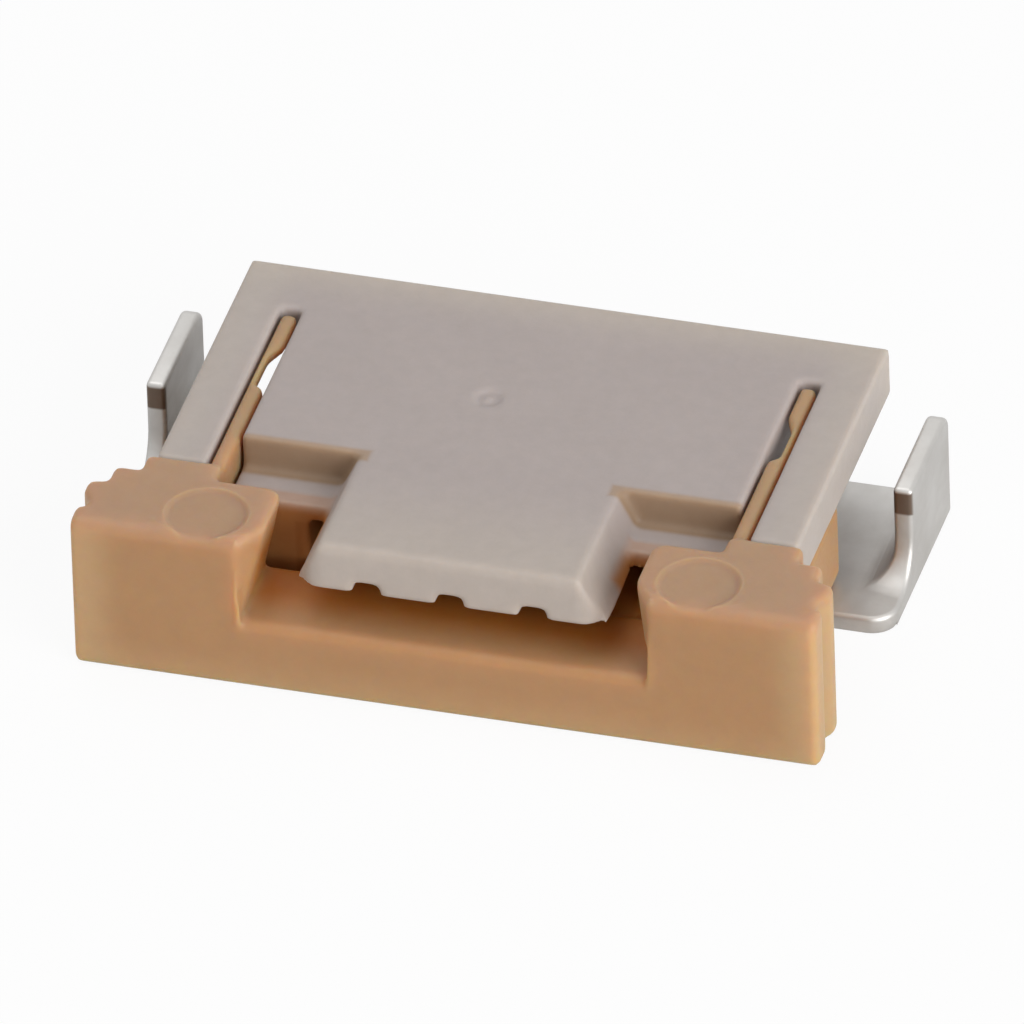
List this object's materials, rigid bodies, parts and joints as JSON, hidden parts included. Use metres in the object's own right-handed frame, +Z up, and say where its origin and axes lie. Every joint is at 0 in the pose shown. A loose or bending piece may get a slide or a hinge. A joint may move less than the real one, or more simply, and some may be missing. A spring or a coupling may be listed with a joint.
{
  "type": "fpc connector",
  "caption": "Right-angle surface-mount connector for a flat flexible cable, with a front slider that locks the cable under a roof tongue.",
  "frame": {"origin": "on the board, in the middle of the overall width and depth", "axes": "+X across the contacts, +Y the way the cable goes in, +Z up from the board"},
  "size_m": [0.0092, 0.0062, 0.0021],
  "materials": {
    "housing_plastic": "undyed heat-resistant nylon, matte off-white",
    "slider_plastic": "undyed translucent tan resin, soft satin",
    "contact_plating": "tin-plated copper alloy, bright satin",
    "nail_plating": "tin-plated copper alloy, matte, bare at the cut edge"
  },
  "bodies": {
    "base": {"housing": "housing_plastic", "terminal_1": "contact_plating", "terminal_2": "contact_plating", "terminal_3": "contact_plating", "nail_left": "nail_plating", "nail_right": "nail_plating"},
    "slider": {"slider": "slider_plastic"}
  },
  "joints": [
    {"name": "slider_travel", "type": "slide", "parent": "base", "child": "slider", "axis": [0, -1, 0], "range_m": [0, 0.0011]}
  ]
}
